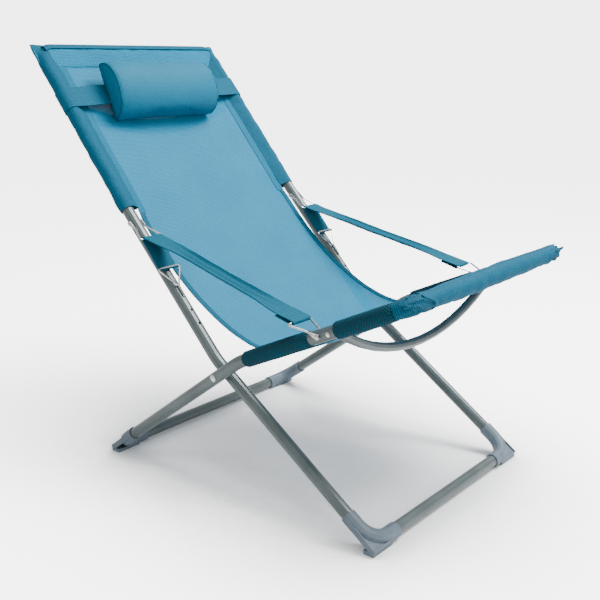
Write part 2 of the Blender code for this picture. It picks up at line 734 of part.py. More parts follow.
def build():
    for sign in (-1, 1):
        front_rail(sign)
        rear_rail(sign)
        pivot_rivet(sign)
        foot("front", sign, FRONT_HALF, FRONT_BAR, unit(FRONT_BAR, FRONT_BEND))
        foot("rear", sign, REAR_HALF, REAR_BAR, unit(REAR_BAR, REAR_BEND))
        brace_rivet(sign)
        bail("guide", sign, FRONT_HALF, GUIDE_RIVET, GUIDE_BAR, RAIL_DIR)
        bail_rivet("guide", sign, FRONT_HALF, GUIDE_RIVET)
        bail("seat", sign, REAR_HALF, SEAT_RIVET, SEAT_BAR, RAIL_DIR)
        bail_rivet("seat", sign, REAR_HALF, SEAT_RIVET)
        adjuster(sign)
        for index, (start_y, end_y) in enumerate(GRIP_SPANS):
            grip(sign, index + 1, start_y, end_y)
        arm_strap(sign)
    crossbar("front_floor_bar", FRONT_HALF, FRONT_BAR, FRONT_BEND, CORNER_R)
    crossbar("back_top_bar", FRONT_HALF, BACK_TOP, SLEEVE_END, TOP_CORNER_R)
    crossbar("rear_floor_bar", REAR_HALF, REAR_BAR, REAR_BEND, CORNER_R)
    crossbar("seat_front_bar", REAR_HALF, SEAT_FRONT, REAR_BEND, SEAT_CORNER_R)
    brace()
    back_sleeves()
    sling_back()
    sling_length("sling_lumbar", 0, 3, (0.012, 0.012))
    sling_length("sling_bridge", 3, 5, (0.012, 0.012))
    sling_length("sling_seat", 5, len(SLING_LINE) - 1, (0.012, 0.0))
    sling_front_hem()
    pillow()
    pillow_band()


clear_scene()
build()
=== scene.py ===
"""Looks of the folding beach chair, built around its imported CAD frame.

Metres, +Z up; the sitter faces -Y and +X is the sitter's left. Side views are (y, z) pairs.
The sling, straps, grips and pillow are cloth made here; tubes, wires and feet are CAD.
"""

import json
import math

import bmesh
import bpy
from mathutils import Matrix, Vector, noise

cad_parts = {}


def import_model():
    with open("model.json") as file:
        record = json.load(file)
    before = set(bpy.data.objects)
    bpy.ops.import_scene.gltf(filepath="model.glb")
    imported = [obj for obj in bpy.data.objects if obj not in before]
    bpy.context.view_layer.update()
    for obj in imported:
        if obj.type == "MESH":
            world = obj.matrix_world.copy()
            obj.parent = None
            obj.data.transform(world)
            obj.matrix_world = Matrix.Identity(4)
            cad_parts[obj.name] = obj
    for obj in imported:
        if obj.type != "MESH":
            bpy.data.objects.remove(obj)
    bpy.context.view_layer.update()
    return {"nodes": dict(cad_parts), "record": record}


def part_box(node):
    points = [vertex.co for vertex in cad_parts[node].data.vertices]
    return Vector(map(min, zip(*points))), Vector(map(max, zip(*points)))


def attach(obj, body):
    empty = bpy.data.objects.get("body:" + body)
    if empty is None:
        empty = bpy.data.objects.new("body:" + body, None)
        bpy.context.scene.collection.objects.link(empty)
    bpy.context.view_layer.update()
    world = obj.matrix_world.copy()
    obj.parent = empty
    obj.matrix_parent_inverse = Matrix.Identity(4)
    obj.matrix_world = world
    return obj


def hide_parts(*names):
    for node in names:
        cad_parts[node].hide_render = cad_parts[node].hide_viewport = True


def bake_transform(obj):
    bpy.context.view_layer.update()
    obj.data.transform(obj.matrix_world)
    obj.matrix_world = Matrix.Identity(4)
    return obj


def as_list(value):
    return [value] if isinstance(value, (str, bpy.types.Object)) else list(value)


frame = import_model()
SIDES = ((-1, "right"), (1, "left"))     # x sign and name, seen by the sitter


# ---------------------------------------------------------------- places from the frame
def centre(node):
    low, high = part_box(node)
    return (low + high) / 2


def side(node):
    middle = centre(node)
    return (middle.y, middle.z)


TIP_BEYOND_BAR = 0.0113    # front feet's tips, forward of their crossbar's middle
FRONT_TIP = centre("front_floor_bar").y - TIP_BEYOND_BAR
RAIL_X = centre("sling_sleeve_left").x
SEAT_X = centre("grip_1_left").x
TOP_BAR = side("back_top_bar")
SEAT_BAR_FRONT = side("seat_front_bar")
TUBE_R = 0.0130
SLEEVE_R = 0.0149          # cloth round a rail
HEM_R = 0.0162             # cloth round the seat's front bar
GRIP_R = 0.0166
STITCH_X = 0.2350          # inner seam of the sleeves
FREE_HALF = 0.2400         # half width of the sling below the sleeves
TOP_BEND = 0.030           # centre-line radius of the bend at a top corner
SEAT_BEND = 0.041
CLOTH_T = 0.0009
WIRE_R = 0.0021
STRAP_HALF = 0.0245


def at(y, z):
    """Side-view place from a distance behind the front feet's tips and a height."""
    return (y + FRONT_TIP, z)


def unit(a, b):
    length = math.dist(a, b)
    return ((b[0] - a[0]) / length, (b[1] - a[1]) / length)


def shift(p, direction, amount):
    return (p[0] + direction[0] * amount, p[1] + direction[1] * amount)


SLEEVE_END = at(0.6880, 0.5736)
BACK_DIR = unit(SLEEVE_END, TOP_BAR)
BACK_NORMAL = (-BACK_DIR[1], BACK_DIR[0])
BACK_LENGTH = math.dist(SLEEVE_END, TOP_BAR)
SEAT_BEND_PLACE = at(0.3240, 0.3142)
SEAT_DIR = unit(SEAT_BEND_PLACE, SEAT_BAR_FRONT)
SEAT_NORMAL = (SEAT_DIR[1], -SEAT_DIR[0])
SEAT_LENGTH = math.dist(SEAT_BEND_PLACE, SEAT_BAR_FRONT)
SLING_EDGE = [
    TOP_BAR, shift(SLEEVE_END, BACK_DIR, 0.30), shift(SLEEVE_END, BACK_DIR, 0.15),
    shift(SLEEVE_END, BACK_DIR, 0.04), at(0.6850, 0.5690), at(0.6200, 0.4980), at(0.5550, 0.4390),
    at(0.4800, 0.3870), at(0.4000, 0.3480), at(0.3250, 0.3290), at(0.2500, 0.3350), at(0.1700, 0.3680),
    at(0.0900, 0.4130), at(0.0050, 0.4640), at(-0.0560, 0.5120),
]


def world(x, place):
    return Vector((x, place[0], place[1]))


def on_back(x, u, lift):
    """Place u up the back from the sleeves' ends, and lift in front of the rails' centre lines."""
    return world(x, shift(shift(SLEEVE_END, BACK_DIR, u), BACK_NORMAL, lift))


def on_seat(x, w, lift):
    """Place w forward along the seat rails from their bend, and lift above their centre lines."""
    return world(x, shift(shift(SEAT_BEND_PLACE, SEAT_DIR, w), SEAT_NORMAL, lift))


def smooth_step(t):
    t = min(max(t, 0.0), 1.0)
    return t * t * (3 - 2 * t)


# ---------------------------------------------------------------- materials
def shader_material(name, roughness, metallic=0.0, alpha=1.0):
    mat = bpy.data.materials.new(name)
    mat.use_nodes = True
    shader = mat.node_tree.nodes["Principled BSDF"]
    shader.inputs["Roughness"].default_value = roughness
    shader.inputs["Metallic"].default_value = metallic
    shader.inputs["Alpha"].default_value = alpha
    return mat, mat.node_tree, shader


def add(tree, kind, **values):
    """A node with its properties and, for names with a capital, its sockets set."""
    node = tree.nodes.new(kind)
    for key, value in values.items():
        if key[0].isupper():
            node.inputs[key.replace("_", " ")].default_value = value
        else:
            setattr(node, key, value)
    return node


def ramp(tree, source, stops):
    """Colour ramp over a value from (place, colour) pairs."""
    node = tree.nodes.new("ShaderNodeValToRGB")
    elements = node.color_ramp.elements
    while len(elements) < len(stops):
        elements.new(0.5)
    for element, (place, colour) in zip(elements, stops):
        element.position = place
        element.color = (*colour, 1.0)
    tree.links.new(source, node.inputs["Fac"])
    return node.outputs["Color"]


def mix(tree, factor, a, b, blend="MIX"):
    node = add(tree, "ShaderNodeMix", data_type="RGBA", blend_type=blend)
    sockets = [s for s in node.inputs if s.enabled]
    for socket, value in zip(sockets, (factor, a, b)):
        if isinstance(value, (float, int)):
            socket.default_value = value
        elif isinstance(value, tuple):
            socket.default_value = (*value, 1.0)
        else:
            tree.links.new(value, socket)
    return next(s for s in node.outputs if s.enabled)


def coordinates(tree, kind, scale=(1, 1, 1), turn=0.0):
    source = add(tree, "ShaderNodeTexCoord")
    mapping = add(tree, "ShaderNodeMapping")
    mapping.inputs["Scale"].default_value = scale
    mapping.inputs["Rotation"].default_value = (0, 0, turn)
    tree.links.new(source.outputs[kind], mapping.inputs["Vector"])
    return mapping.outputs["Vector"]


def bump(tree, shader, height, strength, distance):
    node = add(tree, "ShaderNodeBump", Strength=strength, Distance=distance)
    tree.links.new(height, node.inputs["Height"])
    tree.links.new(node.outputs["Normal"], shader.inputs["Normal"])


def waves(tree, vector, direction, scale):
    node = add(tree, "ShaderNodeTexWave", bands_direction=direction, Scale=scale, Distortion=0.6)
    node.inputs["Detail"].default_value = 0.0
    tree.links.new(vector, node.inputs["Vector"])
    return node.outputs["Fac"]


def woven(name, thread, gap, roughness=0.72, alpha=1.0, pitch=0.0020, contrast=1.0):
    """Plain weave over the piece's UV map, which is in metres."""
    mat, tree, shader = shader_material(name, roughness, alpha=alpha)
    vector = coordinates(tree, "UV")
    turns = 1.0 / pitch / 3.18
    warp = waves(tree, vector, "X", turns)
    weft = waves(tree, vector, "Y", turns)
    lattice = add(tree, "ShaderNodeMath", operation="MULTIPLY")
    tree.links.new(warp, lattice.inputs[0])
    tree.links.new(weft, lattice.inputs[1])
    cloud = add(tree, "ShaderNodeTexNoise", Scale=9.0, Detail=3.0)
    fleck = add(tree, "ShaderNodeTexNoise", Scale=330.0, Detail=1.5)
    tree.links.new(vector, cloud.inputs["Vector"])
    tree.links.new(vector, fleck.inputs["Vector"])
    base = ramp(tree, lattice.outputs[0], [(0.05, gap), (0.6, thread)])
    low, high = 1 - 0.42 * contrast, 1 + 0.26 * contrast
    varied = ramp(tree, fleck.outputs["Fac"], [(0.30, (low, low, low)), (0.70, (high, high, high))])
    shaded = ramp(tree, cloud.outputs["Fac"],
                  [(0.30, (0.90, 0.92, 0.93)), (0.70, (1.05, 1.04, 1.03))])
    colour = mix(tree, 1.0, mix(tree, 1.0, base, varied, "MULTIPLY"), shaded, "MULTIPLY")
    tree.links.new(colour, shader.inputs["Base Color"])
    shader.inputs["Specular IOR Level"].default_value = 0.12
    bump(tree, shader, lattice.outputs[0], 0.45, 0.0005)
    return mat


def net(name, thread, hollow):
    """Open knitted net over foam, on UVs in metres."""
    mat, tree, shader = shader_material(name, 0.8)
    vector = coordinates(tree, "UV", turn=0.785)
    turns = 1.0 / 0.0042 / 3.18
    one = waves(tree, vector, "X", turns)
    two = waves(tree, vector, "Y", turns)
    lattice = add(tree, "ShaderNodeMath", operation="MAXIMUM")
    tree.links.new(one, lattice.inputs[0])
    tree.links.new(two, lattice.inputs[1])
    colour = ramp(tree, lattice.outputs[0], [(0.70, hollow), (0.92, thread)])
    tree.links.new(colour, shader.inputs["Base Color"])
    shader.inputs["Specular IOR Level"].default_value = 0.12
    bump(tree, shader, lattice.outputs[0], 0.8, 0.0009)
    return mat


def painted(name):
    """Grey-green metallic paint with fine flake, faint clouding and rubbed spots."""
    mat, tree, shader = shader_material(name, 0.34, metallic=0.35)
    vector = coordinates(tree, "Object")
    cloud = add(tree, "ShaderNodeTexNoise", Scale=14.0, Detail=4.0)
    flake = add(tree, "ShaderNodeTexNoise", Scale=900.0, Detail=1.0)
    tree.links.new(vector, cloud.inputs["Vector"])
    tree.links.new(vector, flake.inputs["Vector"])
    base = ramp(tree, cloud.outputs["Fac"],
                [(0.30, (0.060, 0.078, 0.079)), (0.70, (0.089, 0.110, 0.111))])
    spark = ramp(tree, flake.outputs["Fac"],
                 [(0.35, (0.85, 0.86, 0.87)), (0.72, (1.25, 1.25, 1.25))])
    tree.links.new(mix(tree, 1.0, base, spark, "MULTIPLY"), shader.inputs["Base Color"])
    rough = add(tree, "ShaderNodeMapRange", To_Min=0.27, To_Max=0.42)
    tree.links.new(cloud.outputs["Fac"], rough.inputs["Value"])
    tree.links.new(rough.outputs["Result"], shader.inputs["Roughness"])
    bump(tree, shader, flake.outputs["Fac"], 0.06, 0.0002)
    return mat


def zinc(name):
    mat, tree, shader = shader_material(name, 0.24, metallic=1.0)
    vector = coordinates(tree, "Object")
    spangle = add(tree, "ShaderNodeTexNoise", Scale=260.0, Detail=3.0)
    tree.links.new(vector, spangle.inputs["Vector"])
    colour = ramp(tree, spangle.outputs["Fac"],
                  [(0.30, (0.36, 0.37, 0.38)), (0.70, (0.62, 0.62, 0.61))])
    tree.links.new(colour, shader.inputs["Base Color"])
    bump(tree, shader, spangle.outputs["Fac"], 0.12, 0.0002)
    return mat


def moulded(name):
    """Blue-grey plastic with a spark-eroded grain and slightly paler scuffs."""
    mat, tree, shader = shader_material(name, 0.5)
    vector = coordinates(tree, "Object")
    grain = add(tree, "ShaderNodeTexNoise", Scale=750.0, Detail=2.0)
    scuff = add(tree, "ShaderNodeTexNoise", Scale=38.0, Detail=5.0)
    tree.links.new(vector, grain.inputs["Vector"])
    tree.links.new(vector, scuff.inputs["Vector"])
    colour = ramp(tree, scuff.outputs["Fac"],
                  [(0.42, (0.070, 0.100, 0.128)), (0.74, (0.100, 0.135, 0.165))])
    tree.links.new(colour, shader.inputs["Base Color"])
    bump(tree, shader, grain.outputs["Fac"], 0.15, 0.0003)
    return mat


# Each cloth: its threads' colour, then the colour between them.
SLING_CLOTH = woven("sling_sheer", (0.002, 0.238, 0.405), (0.001, 0.105, 0.200),
                    alpha=0.92, pitch=0.0036, contrast=0.6)
LAPPED_CLOTH = woven("sling_lapped", (0.001, 0.165, 0.285), (0.001, 0.080, 0.150),
                     alpha=0.96, pitch=0.0026, contrast=0.6)
DOUBLE_CLOTH = woven("sling_double", (0.001, 0.110, 0.185), (0.001, 0.060, 0.110),
                     pitch=0.0014, contrast=0.8)
STRAP_CLOTH = woven("strap_cloth", (0.001, 0.115, 0.180), (0.001, 0.062, 0.105),
                    pitch=0.0014, contrast=0.8)
PILLOW_CLOTH = woven("pillow_cloth", (0.001, 0.150, 0.250), (0.001, 0.095, 0.170),
                     roughness=0.6, pitch=0.0026, contrast=0.7)
GATHER_CLOTH = woven("sling_gather", (0.001, 0.100, 0.170), (0.001, 0.036, 0.068), pitch=0.0018)
THREAD = woven("thread", (0.002, 0.07, 0.12), (0.001, 0.04, 0.08), pitch=0.0008)
NET = net("grip_net", (0.001, 0.055, 0.086), (0.0003, 0.007, 0.012))
CARRIED = {
    "frame_paint": painted("tube_paint"),
    "zinc_wire": zinc("zinc"),
    "foot_plastic": moulded("foot"),
}


# ---------------------------------------------------------------- meshes
def grid_object(name, rows, mat, wrap=False, uv_scale=(1.0, 1.0)):
    """Mesh through rows of points, with UVs that follow their real lengths in metres."""
    mesh = bpy.data.meshes.new(name)
    count = len(rows[0])
    verts = [p for row in rows for p in row]
    faces = []
    last = count if wrap else count - 1
    for i in range(len(rows) - 1):
        for j in range(last):
            k = (j + 1) % count
            faces.append((i * count + j, i * count + k, (i + 1) * count + k, (i + 1) * count + j))
    mesh.from_pydata(verts, [], faces)
    along = [0.0]
    middle = count // 2
    for a, b in zip(rows, rows[1:]):
        along.append(along[-1] + (b[middle] - a[middle]).length)
    across = [[0.0] for _ in rows]
    for i, row in enumerate(rows):
        for j in range(count):
            across[i].append(across[i][-1] + (row[(j + 1) % count] - row[j]).length)
    layer = mesh.uv_layers.new(name="UVMap")
    slot = 0
    for i in range(len(rows) - 1):
        for j in range(last):
            for r, c in ((i, j), (i, j + 1), (i + 1, j + 1), (i + 1, j)):
                layer.data[slot].uv = (across[r][c] * uv_scale[0], along[r] * uv_scale[1])
                slot += 1
    mesh.materials.append(mat)
    obj = bpy.data.objects.new(name, mesh)
    bpy.context.scene.collection.objects.link(obj)
    mesh.shade_smooth()
    return obj


def settle(obj):
    """Replace the object's mesh with what its modifiers make of it."""
    bpy.context.view_layer.update()
    graph = bpy.context.evaluated_depsgraph_get()
    made = bpy.data.meshes.new_from_object(obj.evaluated_get(graph))
    obj.modifiers.clear()
    old = obj.data
    obj.data = made
    made.name = obj.name
    bpy.data.meshes.remove(old)
    return obj


def thicken(obj, thickness, offset=0.0):
    mod = obj.modifiers.new("thick", "SOLIDIFY")
    mod.thickness = thickness
    mod.offset = offset
    mod.use_even_offset = False
    settle(obj)
    obj.data.shade_smooth()
    obj.data.set_sharp_from_angle(angle=math.radians(50))
    return obj


SPLINE_STEPS = 24          # points worked out between two given ones
TUBE_STEPS = 48            # points round a tube that cloth wraps
ASKEW = Vector((0.3, 0.5, 0.8))      # a direction that no seam follows


def catmull(points, count):
    """Evenly stepped points on a Catmull-Rom curve through side-view places."""
    dense = []
    last = len(points) - 1
    for i in range(last):
        p0, p1 = points[max(i - 1, 0)], points[i]
        p2, p3 = points[i + 1], points[min(i + 2, last)]
        for k in range(SPLINE_STEPS):
            t = k / SPLINE_STEPS
            dense.append(tuple(
                0.5 * (2 * b + (c - a) * t + (2 * a - 5 * b + 4 * c - d) * t ** 2
                       + (3 * b - a - 3 * c + d) * t ** 3)
                for a, b, c, d in zip(p0, p1, p2, p3)))
    dense.append(points[-1])
    reach = [0.0]
    for a, b in zip(dense, dense[1:]):
        reach.append(reach[-1] + math.dist(a, b))
    result = []
    i = 1
    for k in range(count):
        want = reach[-1] * k / (count - 1)
        while i < len(reach) - 1 and reach[i] < want:
            i += 1
        t = (want - reach[i - 1]) / (reach[i] - reach[i - 1])
        result.append(tuple(a + (b - a) * t for a, b in zip(dense[i - 1], dense[i])))
    return result, reach[-1]


def hull(points):
    """Convex hull of 2-D points, anticlockwise."""
    points = sorted(set(points))

    def half(run):
        out = []
        for p in run:
            while len(out) > 1 and ((out[-1][0] - out[-2][0]) * (p[1] - out[-2][1])
                                    - (out[-1][1] - out[-2][1]) * (p[0] - out[-2][0])) <= 0:
                out.pop()
            out.append(p)
        return out[:-1]

    return half(points) + half(points[::-1])


def wrap_loop(seam, centre_a, radius, edge, edge_lift, count=36):
    """Cloth loop from a seam round a tube, out to a flat edge; (across, lift) pairs."""
    points = [(seam, -0.0010), (seam, 0.0006), (edge, edge_lift - 0.0008), (edge, edge_lift + 0.0008)]
    for k in range(TUBE_STEPS):
        a = 2 * math.pi * k / TUBE_STEPS
        points.append((centre_a + radius * math.cos(a), radius * math.sin(a)))
    outline = hull([(round(a, 6), round(b, 6)) for a, b in points])
    start = min(range(len(outline)), key=lambda i: outline[i][0])
    outline = outline[start:] + outline[:start]
    reach = [0.0]
    for a, b in zip(outline, outline[1:] + outline[:1]):
        reach.append(reach[-1] + math.dist(a, b))
    closed = outline + outline[:1]
    loop = []
    i = 1
    for k in range(count):
        want = reach[-1] * k / count
        while reach[i] < want:
            i += 1
        t = (want - reach[i - 1]) / max(reach[i] - reach[i - 1], 1e-9)
        loop.append(tuple(p + (q - p) * t for p, q in zip(closed[i - 1], closed[i])))
    return loop


def ripple(p, size, depth, seed):
    return noise.noise(Vector((p[0] / size, p[1] / size, p[2] / size + seed))) * depth


def stitches(name, line, mat, body=None, length=0.0024, pitch=0.0038, radius=0.00032):
    """Row of short raised thread dashes along a line of points."""
    bm = bmesh.new()
    reach = [0.0]
    for a, b in zip(line, line[1:]):
        reach.append(reach[-1] + (b - a).length)
    i = 1
    for k in range(int(reach[-1] / pitch)):
        want = (k + 0.5) * pitch
        while reach[i] < want:
            i += 1
        run = (line[i] - line[i - 1]).normalized()
        middle = line[i - 1] + run * (want - reach[i - 1])
        flat = run.cross(ASKEW).normalized()
        up = run.cross(flat)
        tips = [bm.verts.new(middle - run * length / 2), bm.verts.new(middle + run * length / 2)]
        belt = [bm.verts.new(middle + (flat * math.cos(a) + up * math.sin(a)) * radius)
                for a in (0, math.pi / 2, math.pi, 3 * math.pi / 2)]
        for j in range(4):
            bm.faces.new((tips[0], belt[j], belt[(j + 1) % 4]))
            bm.faces.new((tips[1], belt[(j + 1) % 4], belt[j]))
    mesh = bpy.data.meshes.new(name)
    bmesh.ops.recalc_face_normals(bm, faces=bm.faces)
    bm.to_mesh(mesh)
    bm.free()
    mesh.materials.append(mat)
    mesh.shade_smooth()
    obj = bpy.data.objects.new(name, mesh)
    bpy.context.scene.collection.objects.link(obj)
    if body:
        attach(obj, body)
    return obj


def blend_sling(obj):
    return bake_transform(obj)


SLING_ROWS = 132
SLING_COLUMNS = 64
SLING_SAG = 0.014          # of the cloth's middle below its edges
FLARE = 0.040              # widening of each side towards the front bar
FLARE_START = at(0.050, 0)[0]
HEM_WIDTH = 0.0125         # along the free edges
LAP_WIDTH = 0.017          # doubled cloth beside the sleeves' seams
EDGE_LINE, SLING_LENGTH = catmull(SLING_EDGE, SLING_ROWS)


def sling_half(place):
    """Half width of the cloth: seam to seam on the back, free below, flared at the front bar."""
    if place[1] > SLEEVE_END[1] and place[0] > SLEEVE_END[0]:
        return STITCH_X
    low = smooth_step((SLEEVE_END[1] - place[1]) / 0.03)
    front = smooth_step((FLARE_START - place[0]) / 0.09)
    return STITCH_X + (FREE_HALF - STITCH_X) * low + FLARE * front


def sling_sag(i):
    """How far the cloth's middle lies below its edges at a row."""
    t = i / (SLING_ROWS - 1)
    rise = smooth_step((t - 0.01) / 0.22)
    fall = smooth_step((1 - t) / 0.30)
    return SLING_SAG * rise * fall


def sling_point(i, s, lift=0.0):
    """Place on the cloth at row i, s from -1 to 1 across it."""
    place = EDGE_LINE[i]
    a = EDGE_LINE[max(i - 1, 0)]
    b = EDGE_LINE[min(i + 1, SLING_ROWS - 1)]
    run = unit(a, b)
    out = (run[1], -run[0])
    if out[1] < 0:
        out = (-out[0], -out[1])
    back = Vector((0, out[0], out[1]))
    p = world(sling_half(place) * s, place)
    p -= back * (sling_sag(i) * (1 - s * s))
    broad = ripple(p, size=0.14, depth=0.0030, seed=3.0) * (1 - abs(s) ** 3)
    fine = ripple(p, size=0.035, depth=0.0007, seed=9.0)
    return p + back * (broad + fine + lift)


def free_edge(sign, name, first):
    """Folded hem down a free side of the cloth, with its stitches."""
    strip = []
    for i in range(first, SLING_ROWS):
        half = sling_half(EDGE_LINE[i])
        inner = sign * (1 - HEM_WIDTH / half)
        edge = sign * (1 + 0.0006 / half)
        middle = (inner + edge) / 2
        fold = sign * (1 + 0.0016 / half)
        ring = ((inner, 0.0012), (middle, 0.0013), (edge, 0.0010), (fold, 0.0),
                (edge, -0.0010), (middle, -0.0013), (inner, -0.0012))
        strip.append([sling_point(i, s, lift) for s, lift in ring])
    hem = grid_object(f"sling_edge_{name}", strip, DOUBLE_CLOTH)
    thicken(hem, 0.0007)
    blend_sling(hem)
    line = [sling_point(i, sign * (1 - 0.0105 / sling_half(EDGE_LINE[i])), 0.0017)
            for i in range(first, SLING_ROWS)]
    thread = stitches(f"sling_edge_stitch_{name}", line, THREAD)
    blend_sling(thread)
    return [hem, thread]


def seam_lap(sign, name, first):
    """Doubled strip of cloth beside a sleeve's seam, down to the sleeve's end."""
    inner, outer = 1 - LAP_WIDTH / STITCH_X, 1 + 0.002 / STITCH_X
    rows = [[sling_point(i, sign * (inner + (outer - inner) * j / 4), 0.0014) for j in range(5)]
            for i in range(3, first + 2)]
    lap = grid_object(f"sling_seam_lap_{name}", rows, LAPPED_CLOTH)
    thicken(lap, 0.0007)
    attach(lap, "front_frame")
    return lap


def make_sling():
    """Main panel with its hems: the panel, its flat area, and the pieces on it."""
    columns = [2 * j / SLING_COLUMNS - 1 for j in range(SLING_COLUMNS + 1)]
    rows = [[sling_point(i, s) for s in columns] for i in range(SLING_ROWS)]
    area = sum(
        (rows[i + 1][j] - rows[i][j]).cross(rows[i][j + 1] - rows[i][j]).length
        for i in range(SLING_ROWS - 1) for j in range(SLING_COLUMNS))
    panel = grid_object("sling_cloth", rows, SLING_CLOTH)
    thicken(panel, CLOTH_T)
    blend_sling(panel)
    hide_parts("sling_back", "sling_lumbar", "sling_bridge", "sling_seat")
    extras = []
    first = next(i for i in range(SLING_ROWS) if EDGE_LINE[i][1] < SLEEVE_END[1] + 0.004)
    for sign, name in SIDES:
        extras += free_edge(sign, name, first)
        extras.append(seam_lap(sign, name, first))
    return panel, area, extras


def pocket(name, stations, mat, body):
    """Cloth pocket round a tube: each station gives how its loop is placed in space."""
    rows = [[place(a, lift) for a, lift in loop] for place, loop in stations]
    for row in rows:
        middle = sum(row, Vector()) / len(row)
        for j, p in enumerate(row):
            out = (p - middle).normalized()
            bulge = abs(ripple(p, size=0.045, depth=0.0034, seed=5.0))
            row[j] = p + out * (bulge + ripple(p, size=0.011, depth=0.0004, seed=2.0))
    obj = grid_object(name, rows, mat, wrap=True)
    thicken(obj, CLOTH_T, 1.0)
    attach(obj, body)
    return obj


def bend_centre(corner_centre, radius, beyond):
    """How far a bent tube's centre line has come round, past where its bend starts."""
    inside = max(radius ** 2 - beyond ** 2, 0.0)
    return corner_centre + math.sqrt(inside)


SLEEVE_STATIONS = 60
HEM_STATIONS = 72
SLEEVE_OVERRUN = 1.043     # sleeves reach past the top bar to the flat ears at the corners
EAR_FLAT = 0.88            # share of the pocket's radius lost where it closes at a corner
TOP_SEAM = 0.045           # of the top pocket, below the bar
FOLD_CLEAR = 0.0042        # the top edge's fold, outside the sleeves' radius
FOLD_FROM, FOLD_STEP = -8, 21.0      # degrees round the top bar


def make_sleeves():
    bend_u = BACK_LENGTH - TOP_BEND
    pieces = []
    for sign, name in SIDES:
        stations = []
        for k in range(SLEEVE_STATIONS + 1):
            u = BACK_LENGTH * SLEEVE_OVERRUN * k / SLEEVE_STATIONS
            beyond = max(u - bend_u, 0.0)
            middle = RAIL_X if beyond == 0 else bend_centre(RAIL_X - TOP_BEND, TOP_BEND, beyond)
            flat = smooth_step((u - BACK_LENGTH + 0.006) / 0.020)
            radius = SLEEVE_R * (1 - EAR_FLAT * flat)
            edge = RAIL_X + SLEEVE_R + 0.004 * smooth_step((u - bend_u) / 0.04)
            lift = 0.004 * flat
            loop = wrap_loop(STITCH_X, middle, radius, edge, lift)

            def place(a, lift, u=u):
                return on_back(sign * a, u, lift)

            stations.append((place, loop))
        sleeve = pocket(f"sling_pocket_{name}", stations, DOUBLE_CLOTH, "front_frame")
        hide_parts(f"sling_sleeve_{name}")
        pieces.append(sleeve)
        line = [on_back(sign * (STITCH_X + 0.0015), BACK_LENGTH * k / 80, 0.0022) for k in range(78)]
        pieces.append(stitches(f"sleeve_stitch_{name}", line, THREAD, "front_frame"))
    return pieces


def make_top_pocket():
    stations = []
    reach = RAIL_X + 0.0175
    for k in range(HEM_STATIONS + 1):
        x = reach * (2 * k / HEM_STATIONS - 1)
        beyond = max(abs(x) - (RAIL_X - TOP_BEND), 0.0)
        middle = BACK_LENGTH if beyond == 0 else bend_centre(BACK_LENGTH - TOP_BEND, TOP_BEND, beyond)
        flat = smooth_step((abs(x) - RAIL_X + 0.012) / 0.022)
        radius = SLEEVE_R * (1 - EAR_FLAT * flat)
        edge = BACK_LENGTH + SLEEVE_R + 0.004 * smooth_step((abs(x) - RAIL_X + 0.03) / 0.04)
        loop = wrap_loop(BACK_LENGTH - TOP_SEAM, min(middle, BACK_LENGTH), radius, edge, 0.003 * flat)

        def place(a, lift, x=x):
            return on_back(x, a, lift)

        stations.append((place, loop))
    hem = pocket("sling_top_pocket", stations, SLING_CLOTH, "front_frame")
    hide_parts("sling_top_hem")
    return hem


def make_top_fold():
    """Darker doubled cloth over the top bar."""
    radius = SLEEVE_R + FOLD_CLEAR
    rows = []
    for k in range(HEM_STATIONS + 1):
        x = (RAIL_X - 0.004) * (2 * k / HEM_STATIONS - 1)
        beyond = max(abs(x) - (RAIL_X - TOP_BEND), 0.0)
        drop = TOP_BEND - math.sqrt(TOP_BEND ** 2 - beyond ** 2)
        row = []
        for j in range(9):
            a = math.radians(FOLD_FROM + FOLD_STEP * j)
            row.append(on_back(x, BACK_LENGTH - drop * 0.5 + radius * math.sin(a), radius * math.cos(a)))
        rows.append(row)
    fold = grid_object("sling_top_fold", rows, DOUBLE_CLOTH)
    thicken(fold, CLOTH_T)
    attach(fold, "front_frame")
    return fold


def make_top_hem():
    hem = make_top_pocket()
    fold = make_top_fold()
    line = [on_back(0.23 * (k / 60 - 1), BACK_LENGTH - TOP_SEAM + 0.0015, 0.0026) for k in range(121)]
    return [hem, fold, stitches("top_hem_stitch", line, SLING_CLOTH, "front_frame")]


def seat_corner(sign, travel):
    """Centre line of the seat tube's bend: place and direction after some travel from its start."""
    turn = travel / SEAT_BEND
    inner_x, inner_w = SEAT_X - SEAT_BEND, SEAT_LENGTH - SEAT_BEND
    if turn < 0:
        return (sign * (inner_x + travel), SEAT_LENGTH), (sign, 0.0)
    if turn > math.pi / 2:
        past = travel - SEAT_BEND * math.pi / 2
        return (sign * SEAT_X, inner_w - past), (0.0, -1.0)
    place = (sign * (inner_x + SEAT_BEND * math.sin(turn)), inner_w + SEAT_BEND * math.cos(turn))
    return place, (sign * math.cos(turn), -math.sin(turn))


def make_gather(sign, name):
    """Bunched cloth where the front pocket closes round the seat tube's corner."""
    start, run = -0.042, 0.0890      # along the bend
    rows = []
    for k in range(41):
        t = k / 40
        (x, w), (dx, dw) = seat_corner(sign, start + run * t)
        close = 0.0018 * (1 - smooth_step((t - 0.80) / 0.20)) * smooth_step(t / 0.12)
        row = []
        for j in range(40):
            a = 2 * math.pi * j / 40
            fade = math.sin(math.pi * min(t * 1.1, 1.0))
            pleat = 0.0016 * math.sin(9 * a + 2.2 * math.sin(7 * t)) * fade
            radius = TUBE_R + 0.0012 + close + pleat
            out = (dw * math.cos(a) * radius, -dx * math.cos(a) * radius)
            row.append(on_seat(x + out[0], w + out[1], math.sin(a) * radius))
        rows.append(row)
    gather = grid_object(f"sling_gather_{name}", rows, GATHER_CLOTH, wrap=True)
    thicken(gather, 0.0008, 1.0)
    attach(gather, "rear_frame")
    return gather


